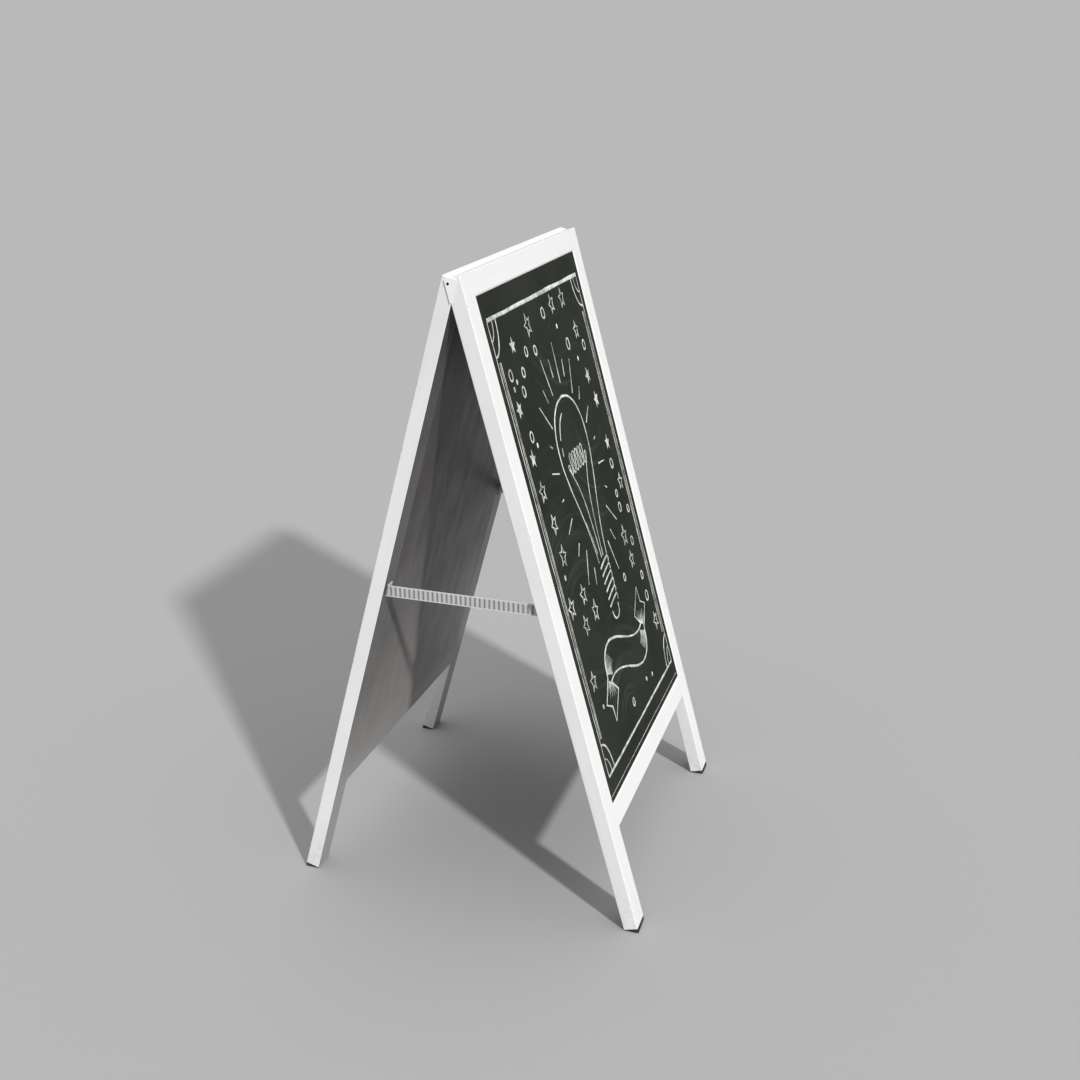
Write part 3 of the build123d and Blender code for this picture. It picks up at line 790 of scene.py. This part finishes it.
def turned(bm, profile):
    """Spin a profile of (radius, height) points about the Z axis."""
    corners = [bm.verts.new((radius, 0, height)) for radius, height in profile]
    edges = [bm.edges.new(pair) for pair in zip(corners, corners[1:])]
    bmesh.ops.spin(bm, geom=corners + edges, axis=(0, 0, 1), cent=(0, 0, 0), angle=math.tau,
                   steps=turned_steps, use_merge=True)
    bmesh.ops.remove_doubles(bm, verts=bm.verts, dist=0.000001)


def turn_washer(bm, radius, depth):
    """A flat ring with its edges broken, from height 0 to its depth."""
    edge = washer_edge
    turned(bm, [
        (washer_hole, edge),
        (washer_hole + edge, 0),
        (radius - edge, 0),
        (radius, edge),
        (radius, depth - edge),
        (radius - edge, depth),
        (washer_hole + edge, depth),
        (washer_hole, depth - edge),
        (washer_hole, edge),
    ])


def turn_screw(bm, radius):
    """A pointed screw that starts at the top of its pan head, height 0, with a cross sunk in it."""
    profile = []
    for angle in dome_angles:
        fall = 1 - math.cos(math.radians(angle)) ** 0.7
        profile.append((radius * math.sin(math.radians(angle)), head_height * fall))
    profile += [
        (radius, head_height),
        (screw_shank, head_height),
        (screw_shank, screw_length - screw_point),
        (screw_tip, screw_length),
    ]
    turned(bm, profile)
    bmesh.ops.holes_fill(bm, edges=[edge for edge in bm.edges if edge.is_boundary])
    top = min(bm.faces, key=lambda face: face.calc_center_median().z)
    bmesh.ops.inset_region(bm, faces=[top], thickness=radius * recess_rim)
    for vert in top.verts:
        turn = (math.degrees(math.atan2(vert.co.y, vert.co.x)) + 360) % 90
        if recess_from < turn < recess_to:
            vert.co.x *= recess_waist
            vert.co.y *= recess_waist
    sunk = bmesh.ops.extrude_discrete_faces(bm, faces=[top])["faces"][0]
    for vert in sunk.verts:
        vert.co = (vert.co.x * recess_taper, vert.co.y * recess_taper, head_height * recess_depth)


for frame_name, frame_side in sides.items():
    into_timber = facing(f"{frame_name}_chalkboard", frame_side).outward
    level = into_timber.cross(Vector((1, 0, 0)))
    axes = Matrix((Vector((1, 0, 0)), level, into_timber)).transposed().to_4x4()
    for kind, shape in (("washers", "round"), ("screws", "pan")):
        node_name = f"{frame_name}_strap_{kind}"
        points = [v.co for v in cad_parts[node_name].data.vertices]
        bm = bmesh.new()
        for side in (-1, 1):
            mine = [point for point in points if point.x * side > 0]
            near = min(point.dot(into_timber) for point in mine)
            rim = [point for point in mine if point.dot(into_timber) < near + rim_thickness]
            spans = [(min(places), max(places)) for places in zip(*rim)]
            centre = Vector([(low + high) / 2 for low, high in spans])
            centre += into_timber * (near - centre.dot(into_timber))
            radius = (spans[0][1] - spans[0][0]) / 2
            one = bmesh.new()
            if kind == "washers":
                turn_washer(one, radius, max(point.dot(into_timber) for point in mine) - near)
            else:
                turn_screw(one, radius)
            bmesh.ops.transform(one, verts=one.verts, matrix=Matrix.Translation(centre) @ axes)
            part = bpy.data.meshes.new("part")
            one.to_mesh(part)
            one.free()
            bm.from_mesh(part)
        finish_fixing(bm, f"{frame_name}_strap_{shape}_{kind}", frame_name, node_name)


# ---- Floor and lights -----------------------------------------------------------------------
# Plain grey floor that meets a background of the same tone, a key light like a low sun from the
# front left, and a sky that is dim low down and bright overhead.
backdrop = (0.485, 0.487, 0.485, 1)
towards_key = Vector((-0.522, -0.636, 0.567))
floor_mesh = bpy.data.meshes.new("floor")
bm = bmesh.new()
bmesh.ops.create_grid(bm, x_segments=1, y_segments=1, size=150)
bm.to_mesh(floor_mesh)
bm.free()
floor = bpy.data.objects.new("floor", floor_mesh)
bpy.context.scene.collection.objects.link(floor)
floor_paint, floor_shader = start_material("floor", 1.0)
floor_shader.inputs["Specular IOR Level"].default_value = 0.0
floor_shader.inputs["Base Color"].default_value = (0.36, 0.36, 0.36, 1)
floor_mesh.materials.append(floor_paint)
floor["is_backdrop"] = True

studio = bpy.data.worlds.new("studio")
bpy.context.scene.world = studio
studio.use_nodes = True
nodes, links = studio.node_tree.nodes, studio.node_tree.links
height = nodes.new("ShaderNodeSeparateXYZ")
links.new(nodes.new("ShaderNodeTexCoord").outputs["Generated"], height.inputs[0])
overhead = nodes.new("ShaderNodeMapRange")
overhead.inputs["From Min"].default_value = 0.3
overhead.inputs["From Max"].default_value = 1.0
overhead.inputs["To Min"].default_value = 0.14
overhead.inputs["To Max"].default_value = 1.35
links.new(height.outputs[2], overhead.inputs["Value"])
seen = nodes.new("ShaderNodeMix")
seen.data_type = "RGBA"
seen.inputs[7].default_value = backdrop
links.new(nodes.new("ShaderNodeLightPath").outputs["Is Camera Ray"], seen.inputs[0])
links.new(overhead.outputs[0], seen.inputs[6])
links.new(seen.outputs[2], nodes["Background"].inputs["Color"])

key = bpy.data.lights.new("key", "SUN")
key.energy = 3.1
key.angle = math.radians(3)
key_light = bpy.data.objects.new("key", key)
key_light.rotation_mode = "QUATERNION"
key_light.rotation_quaternion = towards_key.to_track_quat("Z", "Y")
bpy.context.scene.collection.objects.link(key_light)
bpy.context.scene.view_settings.view_transform = "Standard"

low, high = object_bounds()
